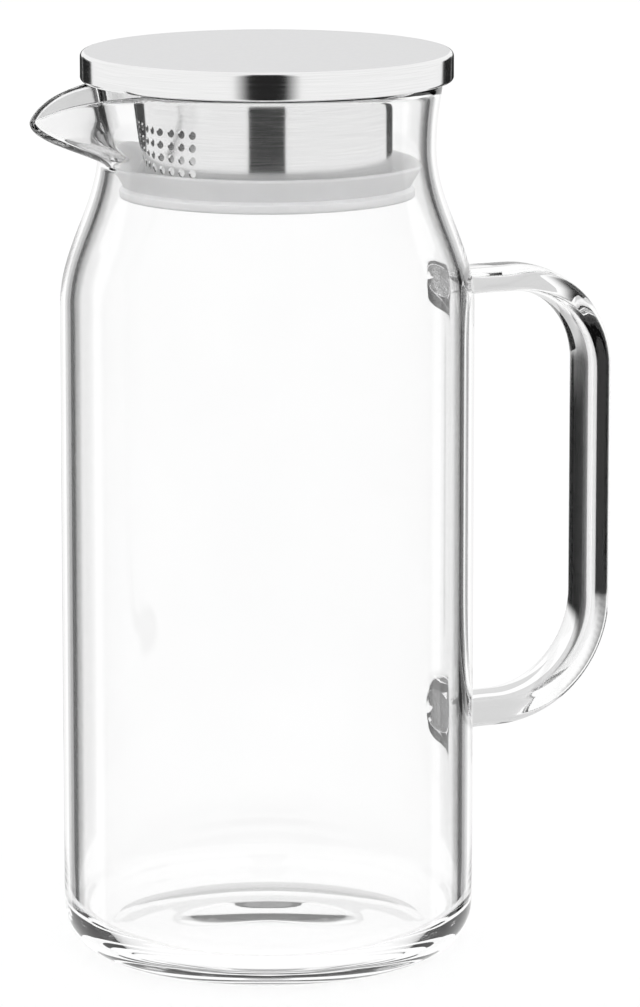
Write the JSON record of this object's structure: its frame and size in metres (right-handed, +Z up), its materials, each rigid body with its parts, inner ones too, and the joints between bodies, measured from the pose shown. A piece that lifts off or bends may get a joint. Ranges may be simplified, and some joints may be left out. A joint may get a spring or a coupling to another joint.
{
  "type": "glass pitcher with strainer lid",
  "caption": "Tall clear glass pitcher with a pulled pouring lip, a welded glass loop handle and a brushed steel lid that carries a perforated strainer sleeve and a silicone seal ring.",
  "frame": {"origin": "centre of the foot ring, on the surface that the jug stands on", "axes": "+Z up along the jug's axis, +X from the axis towards the handle, the pouring lip on -X"},
  "size_m": [0.16, 0.1048, 0.2315],
  "materials": {
    "glass": "clear polished borosilicate glass",
    "brushed_steel": "fine brushed stainless steel",
    "silicone": "milky translucent silicone"
  },
  "bodies": {
    "jug": {"glass_body": "glass", "glass_handle": "glass"},
    "seal": {"seal_ring": "silicone"},
    "lid": {"lid_cap": "brushed_steel", "lid_plate": "brushed_steel", "strainer_sleeve": "brushed_steel"}
  },
  "joints": [
    {"name": "lid_lift", "type": "slide", "parent": "jug", "child": "seal", "axis": [0, 0, 1], "range_m": [0, 0.1]},
    {"name": "lid_turn", "type": "hinge", "parent": "seal", "child": "lid", "pos_m": [0, 0, 0.2], "axis": [0, 0, 1], "continuous": true}
  ]
}
